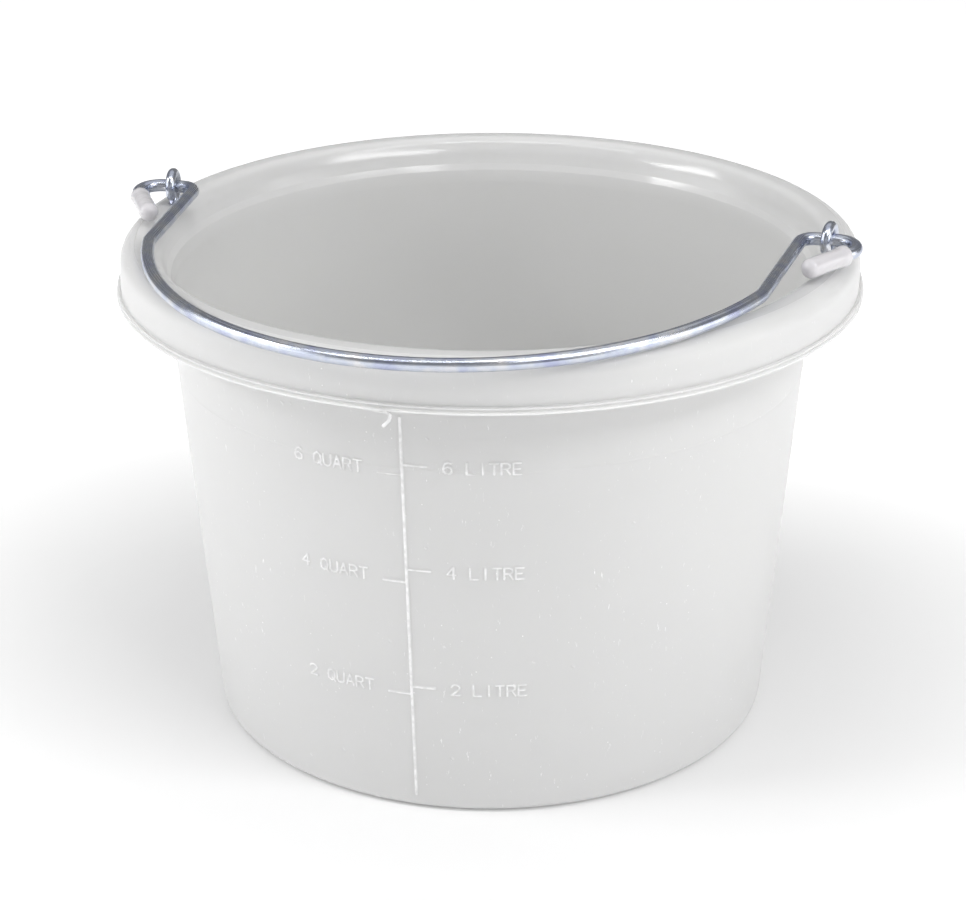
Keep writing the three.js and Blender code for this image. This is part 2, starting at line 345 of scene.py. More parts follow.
def boss(side):
    section = [
        (126.0, boss_bottom), (130.9, rim_top - 1.7), (138.5, rim_top - 1.7),
        (141.6, rim_top - 6.8), (141.7, boss_bottom),
    ]
    half_angle = boss_width / 2 / eye_x
    middle = 0 if side > 0 else math.pi
    centre = Vector((eye_x, (boss_bottom + rim_top) / 2))
    rows = []
    for angle in np.linspace(middle - half_angle, middle + half_angle, 5):
        rows.append([(radius * math.cos(angle), radius * math.sin(angle), z) for radius, z in section])
    first = [(centre.x * math.cos(middle - half_angle), centre.x * math.sin(middle - half_angle), centre.y)]
    last = [(centre.x * math.cos(middle + half_angle), centre.x * math.sin(middle + half_angle), centre.y)]
    return skin("boss", [first, *rows, last], [0] * 7, 1)


for side in (-1, 1):
    bpy.context.view_layer.update()
    applied(shell, "UNION", boss(side))
    spot = Vector((side * eye_x, 0, 0))
    drill_line = [spot + Vector((0, 0, z)) for z in (boss_bottom - 3, boss_bottom + 4, rim_top + 2)]
    bpy.context.view_layer.update()
    applied(shell, "DIFFERENCE", swept("drill", drill_line, hole_radius))
print("shell with bosses and holes:", len(shell.data.polygons), "faces")

# %% [markdown]
# ## Raised graduations
# The engraver cuts the scale into the mould, so every stroke stands out of the wall as a low ridge
# with sloping sides, and it is one skin with the wall. Separate beads laid on the wall would look
# dark, because light can't pass between two solids, and a bump in the material would be flat from
# the side. So the strokes are listed first, on the unrolled wall. The wall's mesh is then cut finer
# near them, and its points are lifted. The lettering is a plain single-stroke alphabet.

# %% The strokes, as (across, height) in mm round the wall from the scale's line and up from the floor
strokes = []
scale_centre = 2.1


def stroke(points, width, proud):
    """Adds a line through these points: a ridge this wide, standing this far out of the wall."""
    for (x0, z0), (x1, z1) in zip(points, points[1:]):
        strokes.append((scale_centre + x0, z0, scale_centre + x1, z1, width / 2, proud))


line_bottom, line_top = 6.0, 165.0
tick_length = 9.0
litre_ticks = {2: 54.3, 4: 104.1, 6: 146.6}
quart_ticks = {2: 50.9, 4: 98.7, 6: 142.5}

stroke([(0, line_bottom), (0, line_top)], 1.3, 0.45)
for z in litre_ticks.values():
    stroke([(0.5, z), (tick_length, z)], 1.1, 0.4)
for z in quart_ticks.values():
    stroke([(-tick_length, z), (-0.5, z)], 1.1, 0.4)
print(len(strokes), "strokes for the line and ticks")

# %% The single-stroke alphabet, each letter 4 wide and 6 high
letters = {
    "2": [[(0, 4.6), (0.6, 5.6), (2, 6), (3.4, 5.6), (4, 4.5), (3.6, 3.4), (0, 0), (4, 0)]],
    "4": [[(3, 0), (3, 6), (0, 2), (4, 2)]],
    "6": [[(3.6, 5.4), (2.4, 6), (1, 5.5), (0.2, 4), (0, 2), (0.6, 0.5), (2, 0), (3.5, 0.5), (4, 1.9),
           (3.5, 3.1), (2, 3.6), (0.5, 3)]],
    "L": [[(0, 6), (0, 0), (3.6, 0)]],
    "I": [[(2, 6), (2, 0)]],
    "T": [[(0, 6), (4, 6)], [(2, 6), (2, 0)]],
    "R": [[(0, 0), (0, 6), (2.6, 6), (3.8, 5.2), (3.8, 3.8), (2.6, 3), (0, 3)], [(2.2, 3), (4, 0)]],
    "E": [[(3.8, 6), (0, 6), (0, 0), (3.8, 0)], [(0, 3), (3, 3)]],
    "Q": [[(2, 6), (0.4, 5), (0, 3), (0.4, 1), (2, 0), (3.6, 1), (4, 3), (3.6, 5), (2, 6)],
          [(2.6, 1.6), (4.2, -0.4)]],
    "U": [[(0, 6), (0, 1.4), (0.8, 0.2), (2, 0), (3.2, 0.2), (4, 1.4), (4, 6)]],
    "A": [[(0, 0), (2, 6), (4, 0)], [(0.7, 2), (3.3, 2)]],
}
letter_height = 4.6
letter_pitch = 4.1
text_start = 15.0


def write(text, start, z):
    """Writes a word on the wall, with its middle at a height."""
    size = letter_height / 6
    for index, letter in enumerate(text):
        left = start + index * letter_pitch
        for line in letters.get(letter, []):
            stroke([(left + x * size, z + (y - 3) * size) for x, y in line], 0.9, 0.5)


for number, z in litre_ticks.items():
    write(f"{number} LITRE", text_start, z)
for number, z in quart_ticks.items():
    write(f"{number} QUART", -text_start - 7 * letter_pitch + 0.9, z + 1.5)

# a few low pips and scars, where the mould has been knocked and polished by hand
pips = [(-52, 166), (-48, 163), (-44, 163.4), (-61, 165), (9.3, 158), (7, 114), (45, 66.5), (60, 63),
        (14, 24), (-30, 20), (-46, 12), (-8, 73), (38, 57), (70, 96), (84, 120)]
for across, z in pips:
    stroke([(across, z), (across + 0.7, z - 0.6)], 0.9, 0.3)
print(len(strokes), "strokes with the lettering")

# %% Cut the wall finer near the strokes, and lift it
fine_cuts = 8
cut_margin = 2.6
wall_tolerance = 0.3
ridge_slope = 0.3
strokes = np.array(strokes)


def unrolled(points):
    """Points in mm as (across, height) on the unrolled wall, with the front at 0."""
    angle = np.arctan2(points[:, 0], -points[:, 1])
    return np.stack([angle * outer_wall(points[:, 2]), points[:, 2]], axis=1)


def into_stroke(points):
    """How far each point lies inside each stroke's edge, in mm, and how proud each stroke is."""
    start, end = strokes[:, 0:2], strokes[:, 2:4]
    run = end - start
    offset = points[:, None, :] - start[None]
    share = np.clip((offset * run).sum(2) / (run * run).sum(1), 0, 1)
    distance = np.linalg.norm(offset - share[..., None] * run[None], axis=2)
    return strokes[:, 4][None] - distance


def on_the_wall(points):
    """True for points of the wall's outside."""
    return np.abs(np.hypot(points[:, 0], points[:, 1]) - outer_wall(points[:, 2])) < wall_tolerance


wall = bmesh.new()
wall.from_mesh(shell.data)
centres = np.array([face.calc_center_median() for face in wall.faces]) / MM
near = on_the_wall(centres) & (into_stroke(unrolled(centres)).max(1) > -cut_margin)
chosen = {edge for face, is_near in zip(wall.faces, near) if is_near for edge in face.edges}
bmesh.ops.subdivide_edges(wall, edges=list(chosen), cuts=fine_cuts, use_grid_fill=True)
places = np.array([vertex.co for vertex in wall.verts]) / MM
rise = np.clip(into_stroke(unrolled(places)) / ridge_slope, 0, 1)
rise = rise * rise * (3 - 2 * rise) * strokes[:, 5]
lift = rise.max(1) * on_the_wall(places)
for vertex, height in zip(wall.verts, lift):
    if height > 0:
        vertex.co += Vector((vertex.co.x, vertex.co.y, 0)).normalized() * height * MM
wall.to_mesh(shell.data)
wall.free()
print("lifted", int((lift > 0).sum()), "points; shell:", len(shell.data.polygons), "faces")

# %% [markdown]
# ## Flash on the lip
# Where the mould's halves meet under the lip, a little plastic squeezes out and is never trimmed. It
# is a thin tag with round ends, joined to the shell, so that light passes through both as one.

# %% The flash that the mould left on the lip
def tag(points, radius):
    """A thin tag of plastic along (across, z, reach) points, by the lip."""
    line = [Vector((reach * math.sin(x / reach), -reach * math.cos(x / reach), z)) for x, z, reach in points]
    applied(shell, "UNION", swept("tag", line, radius, sides=10, round_ends=True))


drip = lip_radius - 0.8
tag([(2.6, lip_bottom + 0.5, drip), (5.2, lip_bottom - 1.4, drip), (4.6, lip_bottom - 3.4, drip),
     (2.6, lip_bottom - 5.6, drip)], 0.65)
tag([(-9, lip_bottom + 0.3, drip), (-2, lip_bottom - 0.1, drip), (4, lip_bottom - 0.7, drip)], 0.5)
shell.data.shade_smooth()
shell.data.set_sharp_from_angle(angle=math.radians(60))
print("shell, finished:", len(shell.data.polygons), "faces")

# %% [markdown]
# ## The bail wire
# The bail is one length of hard-drawn wire, bent cold: a bow that follows the rim, a knee near each
# side, a straight leg, a bend out through the eye and a hook that stops it from pulling out. The same
# bends as the model's are drawn flat, in the bail's own plane, and then laid forward on the rim.

# %% The bends, in the bail's own plane
wire_radius = 2.5
bail_tilt = math.radians(2.45)
bow_centre, bow_half_width, bow_reach = 20.0, 123.3, 129.5
knee_angle = math.radians(18.3)
leg_x = 122.0
hook_radius, hook_start, hook_tail = 8.0, 135.0, 20.0
hook_turn = math.radians(123)
hook_corner = hook_start + hook_radius * math.tan(hook_turn / 2)


def in_bail(x, reach, lift=0.0):
    """A point of the bail's plane, this far from the hinge, in the pail's own frame."""
    y = -reach * math.cos(bail_tilt) + lift * math.sin(bail_tilt)
    z = -reach * math.sin(bail_tilt) + lift * math.cos(bail_tilt)
    return hinge + Vector((x, y, z))


def half_bail():
    """From the middle of the bow to the end of the right hook, as (x, reach) points."""
    corners = []
    steps = 40
    for step in range(steps):
        angle = math.pi / 2 + (knee_angle - math.pi / 2) * step / steps
        corners.append((bow_half_width * math.cos(angle), bow_centre + bow_reach * math.sin(angle)))
    knee = (bow_half_width * math.cos(knee_angle), bow_centre + bow_reach * math.sin(knee_angle))
    tail = hook_radius * math.tan(hook_turn / 2) + hook_tail
    corners.append((*knee, 12))
    corners.append((leg_x, 0, 6))
    corners.append((hook_corner, 0, hook_radius))
    corners.append((hook_corner + tail * math.cos(hook_turn), tail * math.sin(hook_turn)))
    return rounded(corners)


right_half = half_bail()
left_half = [Vector((-point.x, point.y)) for point in reversed(right_half[1:])]
bail_line = [in_bail(point.x, point.y) for point in left_half + right_half]
wire = swept("bail_rod", bail_line, wire_radius, sides=32)
print("bail:", len(bail_line), "stations,", len(wire.data.polygons), "faces")

# %% [markdown]
# ## The eye bolts
# Each eye is one piece of 4 mm rod: threaded at one end, carried up through the rim, then kicked
# aside and rolled into a ring that almost closes. A torus with a cylinder stuck on would miss the
# kick and the open end. The thread is real geometry too: the radius follows a 0.7 mm pitch helix.

# %% Bend and thread a bolt
rod_radius = 2.0
ring_radius = 5.0
ring_centre = bolt_top - ring_radius - rod_radius
ring_twist = math.radians(9)
thread_pitch = 0.7
thread_depth = 0.38
thread_length = 13.0
shank_top, kick_bottom, kick_start = -9.5, -8.2, -7.6
kick_pull = 2.2
ring_join, ring_end = math.radians(-42), math.radians(222)


def bolt_line():
    """Up the shank, aside in a short kick, then round the ring; in (y, z) from the ring's centre."""
    bottom = shank_end - ring_centre
    shank = np.arange(bottom, bottom + thread_length, thread_pitch / 8)
    points = [Vector((0, 0, z)) for z in (bottom - 0.01, *shank, shank_top, kick_bottom)]
    start = Vector((0, 0, kick_start))
    end = Vector((0, math.cos(ring_join), math.sin(ring_join))) * ring_radius
    pull = Vector((0, 0, kick_pull))
    push = Vector((0, math.sin(ring_join), -math.cos(ring_join))) * kick_pull
    for t in np.linspace(0, 1, 9):
        left = 1 - t
        near_start = start * left ** 3 + (start + pull) * 3 * t * left ** 2
        near_end = (end + push) * 3 * t ** 2 * left + end * t ** 3
        points.append(near_start + near_end)
    for angle in np.linspace(ring_join, ring_end, 44)[1:]:
        points.append(Vector((0, math.cos(angle), math.sin(angle))) * ring_radius)
    return points


def threaded(length, angle):
    """The rod's radius: a helix near the bottom, plain above, with a short chamfer at the end."""
    fade = min(1, max(0, (thread_length - length) / thread_pitch))
    phase = (length / thread_pitch + angle / (2 * math.pi)) % 1
    groove = thread_depth * (1 - abs(2 * phase - 1)) * fade
    chamfer = max(0, 0.7 - length)
    return rod_radius - groove - chamfer


def eye_bolt(name, side):
    bolt = swept(name, bolt_line(), threaded, sides=24)
    turn = Matrix.Rotation(-side * ring_twist, 4, "Z")
    place = Matrix.Translation(Vector((side * eye_x, 0, ring_centre)) * MM)
    bolt.data.transform(place @ turn)
    return bolt


bolts = {"left": eye_bolt("bolt_left", -1), "right": eye_bolt("bolt_right", 1)}
print("eye bolts:", [len(bolt.data.polygons) for bolt in bolts.values()], "faces")

# %% [markdown]
# ## Washers and nuts
# A washer is punched from sheet, so its edges are softly rolled. A nut is cut from hexagon bar, and
# its corners are turned off on a cone at both faces, which leaves the curved edges that tell a real
# nut from a plain prism. Here the radius at each height is the smaller of the hexagon and the cone.

# %% Make the washers and nuts
across_flats = (nut_high.x - nut_low.x) / MM
nut_height = (nut_high.z - nut_low.z) / MM
washer_radius = (washer_high.x - washer_low.x) / 2 / MM
washer_height = (washer_high.z - washer_low.z) / MM


def washer(name, side):
    ring = turned(name, rounded([
        (hole_radius, washer_height / 2),
        (hole_radius, 0, 0.15),
        (washer_radius, 0, 0.3),
        (washer_radius, washer_height, 0.3),
        (hole_radius, washer_height, 0.15),
        (hole_radius, washer_height / 2),
    ]), 64)
    ring.data.transform(Matrix.Translation((side * eye_x * MM, 0, washer_low.z)))
    return ring


def hexagon(cone):
    """The radius of a nut at an angle: its flats, turned down by a cone of this radius."""
    def radius(angle):
        off_flat = (angle + math.pi / 6) % (math.pi / 3) - math.pi / 6
        return min(across_flats / 2 / math.cos(off_flat), cone)
    return radius


def nut(name, side):
    corner = across_flats / math.sqrt(3)
    heights = (0, 0.12, 0.25, 0.4, 0.55)
    cones = [(corner - 0.75 + 1.75 * height, height) for height in heights]
    outline = [(rod_radius + 0.15, 0.3), (rod_radius + 0.4, 0)]
    outline += [(hexagon(cone), height) for cone, height in cones]
    outline += [(hexagon(cone), nut_height - height) for cone, height in reversed(cones)]
    outline += [(rod_radius + 0.4, nut_height), (rod_radius + 0.15, nut_height - 0.3)]
    outline += [(rod_radius + 0.15, 0.3)]
    block = turned(name, outline, 96)
    block.data.set_sharp_from_angle(angle=math.radians(25))
    block.data.transform(Matrix.Translation((side * eye_x * MM, 0, nut_low.z)))
    return block


washers = {"left": washer("ring_washer_left", -1), "right": washer("ring_washer_right", 1)}
nuts = {"left": nut("hex_nut_left", -1), "right": nut("hex_nut_right", 1)}
print(f"nut {across_flats:.1f} mm across flats, washer {2 * washer_radius:.1f} mm across")

# %% [markdown]
# ## The end caps
# A cap is a short dipped sleeve of soft clear vinyl, pushed over the cut end of the wire. Dipping
# leaves it a little uneven, thicker at its rolled mouth and round at its tip, so the turned outline
# is pushed in and out by a tenth of a millimetre of slow noise.

# %% Make the end caps
cap_radius, cap_length, cap_start = 4.0, 22.0, 3.0


def end_cap(name, side):
    bore = wire_radius + 0.1
    cap = turned(name, rounded([
        (0, cap_length - 4),
        (bore, cap_length - 4, 1.2),
        (bore, 0),
        (cap_radius - 0.1, 0, 0.6),
        (cap_radius, 2.2, 1),
        (cap_radius - 0.35, 4, 3),
        (cap_radius - 0.2, cap_length, 3.2),
        (0, cap_length),
    ]), 48)
    for vertex in cap.data.vertices:
        place = vertex.co / MM
        swell = 0.1 * noise.noise(place * 0.28 + Vector((side * 5, 0, 0)))
        vertex.co += Vector((vertex.co.x, vertex.co.y, 0)).normalized() * swell * MM
    slide = hook_radius * math.tan(hook_turn / 2) + cap_start
    x = side * (hook_corner + slide * math.cos(hook_turn))
    reach = slide * math.sin(hook_turn)
    mouth = in_bail(x, reach)
    ahead = in_bail(x + side * math.cos(hook_turn), reach + math.sin(hook_turn)) - mouth
    turn = ahead.to_track_quat("Z", "Y").to_matrix().to_4x4()
    cap.data.transform(Matrix.Translation(mouth * MM) @ turn)
    return cap


caps = {"left": end_cap("wire_cap_left", -1), "right": end_cap("wire_cap_right", 1)}
print("caps:", [len(cap.data.polygons) for cap in caps.values()], "faces")

# %% [markdown]
# ## Colour and the one material helper
# Colours are written as a paint chart or a screen shows them, in sRGB hex. The renderer works in
# linear light, so one function converts them. One more function adds a shader node, with its
# settings, its values and the links that feed it. Every material below is built with these two.

# %% Helpers: linear colour, and a shader node
def to_linear(code):
    """An sRGB hex code as linear red, green, blue and a full alpha."""
    shares = [int(code[i:i + 2], 16) / 255 for i in (1, 3, 5)]
    return (*[s / 12.92 if s <= 0.04045 else ((s + 0.055) / 1.055) ** 2.4 for s in shares], 1.0)


def add(material, kind, settings=None, values=None, links=None):
    """Adds a node: settings are its options, values its sockets' numbers, links the sockets they read."""
    node = material.node_tree.nodes.new(kind)
    for name, value in (settings or {}).items():
        setattr(node, name, value)
    for name, value in (values or {}).items():
        node.inputs[name].default_value = value
    for name, source in (links or {}).items():
        material.node_tree.links.new(source, node.inputs[name])
    return node


def new_material(name):
    material = bpy.data.materials.new(name)
    material.use_nodes = True
    shader = material.node_tree.nodes["Principled BSDF"]
    return material, shader


def connect(material, source, target):
    material.node_tree.links.new(source, target)


print("mid grey #808080 in linear light:", round(to_linear("#808080")[0], 3))

# %% [markdown]
# ## Natural polyethylene, injection moulded
# Polyethylene with no pigment is milky, because its crystals scatter light inside it. Light goes in,
# wanders a few millimetres and comes out again, which softens every edge and lets a thin wall glow.
# Subsurface scattering gives that. The mould's surface was polished and the plastic shrank on it, so
# the gloss is soft, a little wavy, and broken by scuffs and nibs that handling leaves.

# %% The pail's plastic
def natural_polyethylene():
    material, shader = new_material("natural_polyethylene")
    shader.inputs["IOR"].default_value = 1.51
    shader.inputs["Subsurface Weight"].default_value = 1.0
    shader.inputs["Subsurface Radius"].default_value = (1.0, 1.0, 0.96)
    shader.inputs["Subsurface Scale"].default_value = 0.006

    place = add(material, "ShaderNodeTexCoord").outputs["Object"]

    # sink and flow marks, about 30 mm apart, and the fine orange peel of the mould, about 0.8 mm
    waves = add(material, "ShaderNodeTexNoise", values={"Scale": 1 / 0.030, "Detail": 1.0},
                links={"Vector": place})
    peel = add(material, "ShaderNodeTexNoise", values={"Scale": 1 / 0.0008, "Detail": 2.0},
               links={"Vector": place})

    # the core that forms the inside is polished, and the cavity that forms the outside is blasted,
    # and it is the outside that other pails and tools rub against
    parts = add(material, "ShaderNodeSeparateXYZ", links={"Vector": place})
    flat = add(material, "ShaderNodeCombineXYZ", links={"X": parts.outputs["X"], "Y": parts.outputs["Y"]})
    facing = add(material, "ShaderNodeVectorMath", {"operation": "DOT_PRODUCT"},
                 links={0: flat.outputs[0], 1: add(material, "ShaderNodeNewGeometry").outputs["Normal"]})
    outside = add(material, "ShaderNodeMapRange", values={"From Min": -0.02, "From Max": 0.06},
                  links={"Value": facing.outputs["Value"]})

    # handling comes in patches some 45 mm across
    patches = add(material, "ShaderNodeTexNoise", values={"Scale": 1 / 0.045, "Detail": 2.0},
                  links={"Vector": place})
    patch = add(material, "ShaderNodeMapRange",
                values={"From Min": 0.42, "From Max": 0.64, "To Min": 0.15, "To Max": 1.0},
                links={"Value": patches.outputs["Fac"]})
    handled = add(material, "ShaderNodeMath", {"operation": "MULTIPLY"},
                  links={0: patch.outputs["Result"], 1: outside.outputs["Result"]})

    # scuffs: short pale scratches about 0.3 mm wide, drawn out by squeezing the pattern's Z
    drawn = add(material, "ShaderNodeMapping", values={"Scale": (1, 1, 0.3), "Rotation": (0.2, 0.35, 0)},
                links={"Vector": place})
    scratch = add(material, "ShaderNodeTexNoise",
                  values={"Scale": 1 / 0.0016, "Detail": 3.0, "Roughness": 0.7},
                  links={"Vector": drawn.outputs["Vector"]})
    scuffs = add(material, "ShaderNodeMapRange", values={"From Min": 0.66, "From Max": 0.76},
                 links={"Value": scratch.outputs["Fac"]})

    # nibs: tiny pips of plastic, one to each 5 mm cell and about 0.6 mm across
    cells = add(material, "ShaderNodeTexVoronoi", values={"Scale": 1 / 0.005}, links={"Vector": place})
    nibs = add(material, "ShaderNodeMapRange", values={"From Min": 0.075, "From Max": 0.03},
               links={"Value": cells.outputs["Distance"]})
    marks = add(material, "ShaderNodeMath", {"operation": "MAXIMUM"},
                links={0: scuffs.outputs["Result"], 1: nibs.outputs["Result"]})
    worn = add(material, "ShaderNodeMath", {"operation": "MULTIPLY"},
               links={0: marks.outputs[0], 1: handled.outputs[0]})

    # what stands proud of the wall is painted paler: a painted highlight on the tops of the raised strokes
    reach = add(material, "ShaderNodeVectorMath", {"operation": "LENGTH"}, links={0: flat.outputs[0]})
    wall_reach = add(material, "ShaderNodeMath", {"operation": "MULTIPLY_ADD"},
                     {1: wall_slope, 2: base_radius * MM}, {0: parts.outputs["Z"]})
    proud = add(material, "ShaderNodeMath", {"operation": "SUBTRACT"},
                links={0: reach.outputs["Value"], 1: wall_reach.outputs[0]})
    painted_stroke_highlight = add(material, "ShaderNodeMapRange",
                 values={"From Min": 0.15 * MM, "From Max": 0.36 * MM, "To Max": 0.6},
                 links={"Value": proud.outputs[0]})
    below_rim = add(material, "ShaderNodeMapRange",
                    values={"From Min": (lip_bottom - 4) * MM, "From Max": (lip_bottom - 5) * MM},
                    links={"Value": parts.outputs["Z"]})
    # the painted highlight is broken up in patches some 3 mm across
    uneven = add(material, "ShaderNodeTexNoise", values={"Scale": 1 / 0.003, "Detail": 2.0},
                 links={"Vector": place})
    share = add(material, "ShaderNodeMapRange",
                values={"From Min": 0.36, "From Max": 0.62, "To Min": 0.3, "To Max": 1.2},
                links={"Value": uneven.outputs["Fac"]})
    strokes_only = add(material, "ShaderNodeMath", {"operation": "MULTIPLY"},
                       links={0: painted_stroke_highlight.outputs["Result"], 1: below_rim.outputs["Result"]})
    painted_highlight_on_strokes = add(material, "ShaderNodeMath", {"operation": "MULTIPLY"},
               links={0: strokes_only.outputs[0], 1: share.outputs["Result"]})
    # the pale share is real wear on the scuffs and nibs, and a painted highlight on the raised strokes
    wear_and_painted_highlight = add(material, "ShaderNodeMath", {"operation": "MAXIMUM"},
               links={0: worn.outputs[0], 1: painted_highlight_on_strokes.outputs[0]})

    # bruised polyethylene whitens, so the scuffs and nibs are paler than the wall, and the raised strokes'
    # painted highlight takes the same pale colour
    colour = add(material, "ShaderNodeMix", {"data_type": "RGBA"},
                 {6: to_linear("#D1D1D1"), 7: to_linear("#FBFBFC")}, {0: wear_and_painted_highlight.outputs[0]})
    connect(material, colour.outputs[2], shader.inputs["Base Color"])

    rough = add(material, "ShaderNodeMapRange", values={"To Min": 0.17, "To Max": 0.38},
                links={"Value": outside.outputs["Result"]})
    rough_worn = add(material, "ShaderNodeMath", {"operation": "MULTIPLY_ADD"}, {1: 0.2},
                     {0: worn.outputs[0], 2: rough.outputs["Result"]})
    connect(material, rough_worn.outputs[0], shader.inputs["Roughness"])

    wavy = add(material, "ShaderNodeBump", values={"Strength": 0.5, "Distance": 0.0012},
               links={"Height": waves.outputs["Fac"]})
    peeled = add(material, "ShaderNodeBump", values={"Strength": 0.10, "Distance": 0.00006},
                 links={"Height": peel.outputs["Fac"], "Normal": wavy.outputs["Normal"]})
    marked = add(material, "ShaderNodeBump", values={"Strength": 0.6, "Distance": 0.0002},
                 links={"Height": worn.outputs[0], "Normal": peeled.outputs["Normal"]})
    connect(material, marked.outputs["Normal"], shader.inputs["Normal"])
    return material


polyethylene = natural_polyethylene()
print("polyethylene:", len(polyethylene.node_tree.nodes), "nodes")

# %% [markdown]
# ## Bright zinc on drawn steel
# Wire is pulled through a die, which leaves fine lines along its length, and is then electroplated
# with zinc. Bright zinc is bluer than steel, with a faint oil-on-water tint from its passivation. So
# the roughness and the bump follow the millimetre coordinates along the rod: long and thin streaks.

# %% The plated metal
def zinc_plated_steel(name, line_length, line_width, line_depth):
    """Draw lines this long and wide, in mm, on plated steel."""
    material, shader = new_material(name)
    shader.inputs["Metallic"].default_value = 1.0

    place = add(material, "ShaderNodeUVMap", {"uv_map": "millimetres"}).outputs["UV"]
    drawn = add(material, "ShaderNodeMapping", values={"Scale": (1 / line_length, 1 / line_width, 1)},
                links={"Vector": place})
    lines = add(material, "ShaderNodeTexNoise", values={"Scale": 1.0, "Detail": 4.0, "Roughness": 0.6},
                links={"Vector": drawn.outputs["Vector"]})
    space = add(material, "ShaderNodeTexCoord").outputs["Object"]
    clouds = add(material, "ShaderNodeTexNoise", values={"Scale": 1 / 0.007, "Detail": 3.0},
                 links={"Vector": space})

    tint = add(material, "ShaderNodeValToRGB", links={"Fac": clouds.outputs["Fac"]})
    ramp = tint.color_ramp
    ramp.elements[0].position, ramp.elements[0].color = 0.30, to_linear("#ADB2CC")
    ramp.elements[1].position, ramp.elements[1].color = 0.72, to_linear("#D3D3D6")
    ramp.elements.new(0.5).color = to_linear("#BFC5D2")
    connect(material, tint.outputs["Color"], shader.inputs["Base Color"])

    rough = add(material, "ShaderNodeMapRange",
                values={"From Min": 0.3, "From Max": 0.7, "To Min": 0.16, "To Max": 0.34},
                links={"Value": lines.outputs["Fac"]})
    connect(material, rough.outputs["Result"], shader.inputs["Roughness"])
    bump = add(material, "ShaderNodeBump", values={"Strength": 0.6, "Distance": line_depth * MM},
               links={"Height": lines.outputs["Fac"]})
    connect(material, bump.outputs["Normal"], shader.inputs["Normal"])
    return material


drawn_zinc = zinc_plated_steel("zinc_plated_wire", 40, 0.55, 0.12)
cut_zinc = zinc_plated_steel("zinc_plated_fastener", 3, 0.5, 0.05)
print("zinc:", drawn_zinc.name, cut_zinc.name)

# %% [markdown]
# ## Soft clear vinyl
# The caps are dipped plastisol: glossy, whiter than the pail where they are thick, and clear enough
# at the skin to show a bright line on each side.

# %% The caps' plastic
def soft_vinyl():
    material, shader = new_material("soft_clear_vinyl")
    shader.inputs["Base Color"].default_value = to_linear("#CFCDD0")
    shader.inputs["IOR"].default_value = 1.53
    shader.inputs["Subsurface Weight"].default_value = 1.0
    shader.inputs["Subsurface Radius"].default_value = (1.0, 0.98, 0.95)
    shader.inputs["Subsurface Scale"].default_value = 0.0025
    shader.inputs["Coat Weight"].default_value = 0.5
    shader.inputs["Coat Roughness"].default_value = 0.08

    place = add(material, "ShaderNodeTexCoord").outputs["Object"]
    drips = add(material, "ShaderNodeTexNoise", values={"Scale": 1 / 0.004, "Detail": 2.0},
                links={"Vector": place})
    rough = add(material, "ShaderNodeMapRange",
                values={"From Min": 0.3, "From Max": 0.7, "To Min": 0.10, "To Max": 0.26},
                links={"Value": drips.outputs["Fac"]})
    connect(material, rough.outputs["Result"], shader.inputs["Roughness"])
    bump = add(material, "ShaderNodeBump", values={"Strength": 0.7, "Distance": 0.0008},
               links={"Height": drips.outputs["Fac"]})
    connect(material, bump.outputs["Normal"], shader.inputs["Normal"])
    return material


vinyl = soft_vinyl()
print("vinyl:", len(vinyl.node_tree.nodes), "nodes")

# %% [markdown]
# ## Which piece moves with what
# Each finished piece takes its material, stands in for its plain model node, and rides on a body, so
# that the wire and its caps swing together while the pail and its fastenings stay.

# %% Hand each piece to its body
def finish_piece(piece, material, body, node=None):
    piece.data.materials.clear()
    piece.data.materials.append(material)
    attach(piece, body)
    if node:
        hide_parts(node)


finish_piece(shell, polyethylene, "pail", "pail_body")
finish_piece(wire, drawn_zinc, "bail", "bail_wire")
for end in ("left", "right"):
    finish_piece(bolts[end], cut_zinc, "pail", f"eye_bolt_{end}")
    finish_piece(washers[end], cut_zinc, "pail", f"washer_{end}")
    finish_piece(nuts[end], cut_zinc, "pail", f"nut_{end}")
    finish_piece(caps[end], vinyl, "bail", f"end_cap_{end}")

# %% [markdown]
# ## The floor and the light
# A white product table is lit by large soft sources, so that every reflection has a soft edge. A tall
# panel stands at each side, so that the sides of a milky object glow, and two brighter strips stand
# above them for the highlights on the wire and the rim. A narrow strip and a dim broad panel hang
# overhead. The front gets the least light. The floor is painted light as well: it emits a glow of its
# own, weaker near the pail and stronger away from it.

# %% Floor
floor_size = 14.0
floor_mesh = bpy.data.meshes.new("floor")
half = floor_size / 2
floor_corners = [(-half, -half, 0), (half, -half, 0), (half, half, 0), (-half, half, 0)]
floor_mesh.from_pydata(floor_corners, [], [(0, 1, 2, 3)])
floor = bpy.data.objects.new("floor", floor_mesh)
bpy.context.scene.collection.objects.link(floor)
floor.location.z = -0.0005
floor_paint, floor_shader = new_material("floor_with_painted_glow")
floor_shader.inputs["Base Color"].default_value = to_linear("#E0E0E0")
floor_shader.inputs["Roughness"].default_value = 0.6
floor_shader.inputs["Specular IOR Level"].default_value = 0.2
floor_shader.inputs["Emission Color"].default_value = to_linear("#FFFFFF")
floor_place = add(floor_paint, "ShaderNodeTexCoord").outputs["Object"]
from_pail = add(floor_paint, "ShaderNodeVectorMath", {"operation": "LENGTH"}, links={0: floor_place})
# painted light: the floor emits a glow of its own, weaker near the pail and stronger away from it
painted_floor_glow = add(floor_paint, "ShaderNodeMapRange",
           {"interpolation_type": "SMOOTHSTEP"},
           {"From Min": 0.10, "From Max": 0.41, "To Min": 0.14, "To Max": 0.50},
           {"Value": from_pail.outputs["Value"]})
connect(floor_paint, painted_floor_glow.outputs["Result"], floor_shader.inputs["Emission Strength"])
floor_mesh.materials.append(floor_paint)
print("floor", floor_size, "m square")


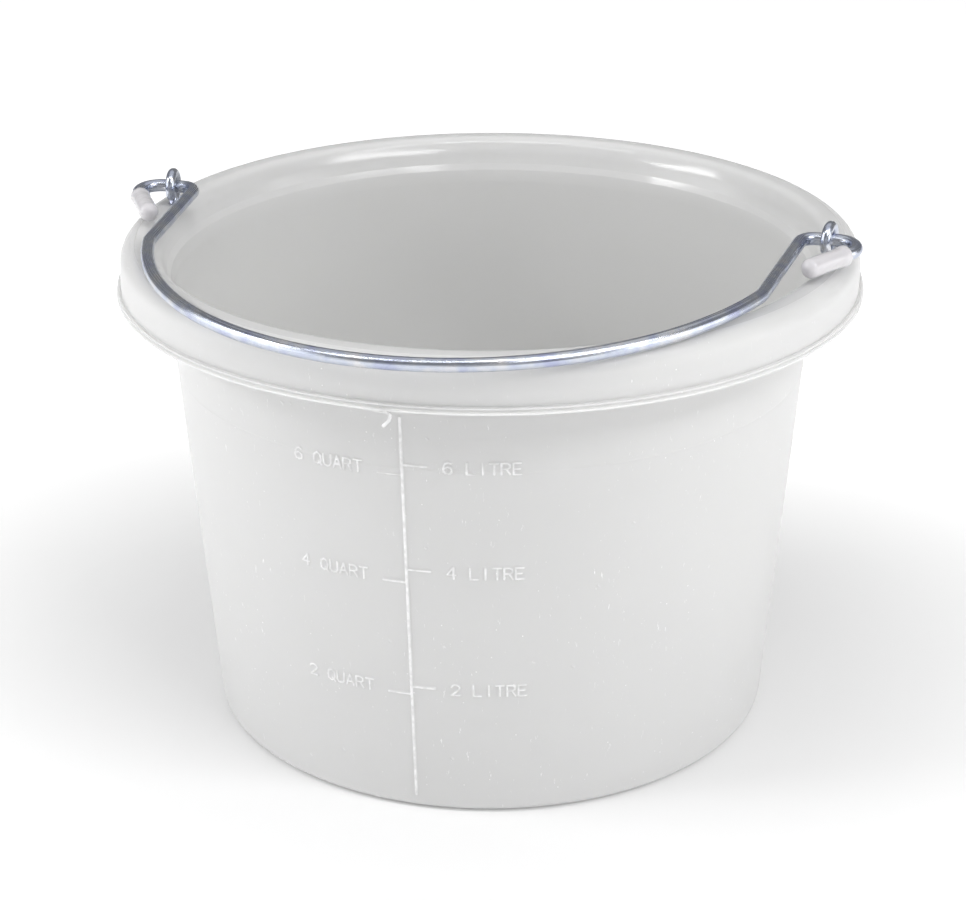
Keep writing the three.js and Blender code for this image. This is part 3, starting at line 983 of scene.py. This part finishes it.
# %% Lamps
def softbox(name, bearing, rise, wide, tall, radiance, distance=2.4):
    """A soft rectangular lamp, by where the pail sees it: its bearing from the front towards +X, how
    far up, and how wide and tall it looks, all in degrees."""
    lamp = bpy.data.lights.new(name, "AREA")
    lamp.shape = "RECTANGLE"
    lamp.size = 2 * distance * math.tan(math.radians(wide / 2))
    lamp.size_y = 2 * distance * math.tan(math.radians(tall / 2))
    lamp.energy = radiance * math.pi * lamp.size * lamp.size_y
    holder = bpy.data.objects.new(name, lamp)
    turn, lift = math.radians(bearing), math.radians(rise)
    away = Vector((math.sin(turn) * math.cos(lift), -math.cos(turn) * math.cos(lift), math.sin(lift)))
    holder.location = away * distance + Vector((0, 0, rim_top * MM))
    holder.rotation_euler = away.to_track_quat("Z", "Y").to_euler()
    bpy.context.scene.collection.objects.link(holder)
    return holder


softbox("right_key", 60, 41, 36, 12, 8)
softbox("left_key", -67, 31, 26, 10, 11)
softbox("right_bank", 85, 8, 44, 25, 2.0)
softbox("left_bank", -62, 8, 54, 25, 1.7)
softbox("front_fill", 12, 12, 50, 22, 0.3)
softbox("overhead", 12, 70, 76, 5, 9)
softbox("ceiling", 180, 72, 60, 50, 0.5)

world = bpy.data.worlds.new("studio")
world.use_nodes = True
world.node_tree.nodes["Background"].inputs["Color"].default_value = to_linear("#FAFAFA")
world.node_tree.nodes["Background"].inputs["Strength"].default_value = 0.28
bpy.context.scene.world = world
bpy.context.scene.view_settings.view_transform = "Standard"

# %% [markdown]
# ## The camera
# A product shot from about a metre, a little above the rim and a little to the right of the scale.
# A long lens keeps the pail's taper true.

# %% Camera
camera_turn = math.radians(15.83)
camera_rise = math.radians(23.22)
camera_roll = math.radians(-0.23)
camera_distance = 977.4
camera_aim = Vector((-2.9, -0.8, 100.9))
lens_length = 90.05

back = Vector((math.sin(camera_turn) * math.cos(camera_rise), -math.cos(camera_turn) * math.cos(camera_rise),
               math.sin(camera_rise)))
camera_data = bpy.data.cameras.new("camera")
camera = bpy.data.objects.new("camera", camera_data)
bpy.context.scene.collection.objects.link(camera)
camera.location = (camera_aim + back * camera_distance) * MM
level = back.to_track_quat("Z", "Y")
camera.rotation_euler = (level.to_matrix() @ Matrix.Rotation(camera_roll, 3, "Z")).to_euler()
camera_data.sensor_width = 36.0
camera_data.lens = lens_length
bpy.context.scene.camera = camera
print("camera at", tuple(round(v, 3) for v in camera.location), "lens", round(camera_data.lens, 1))
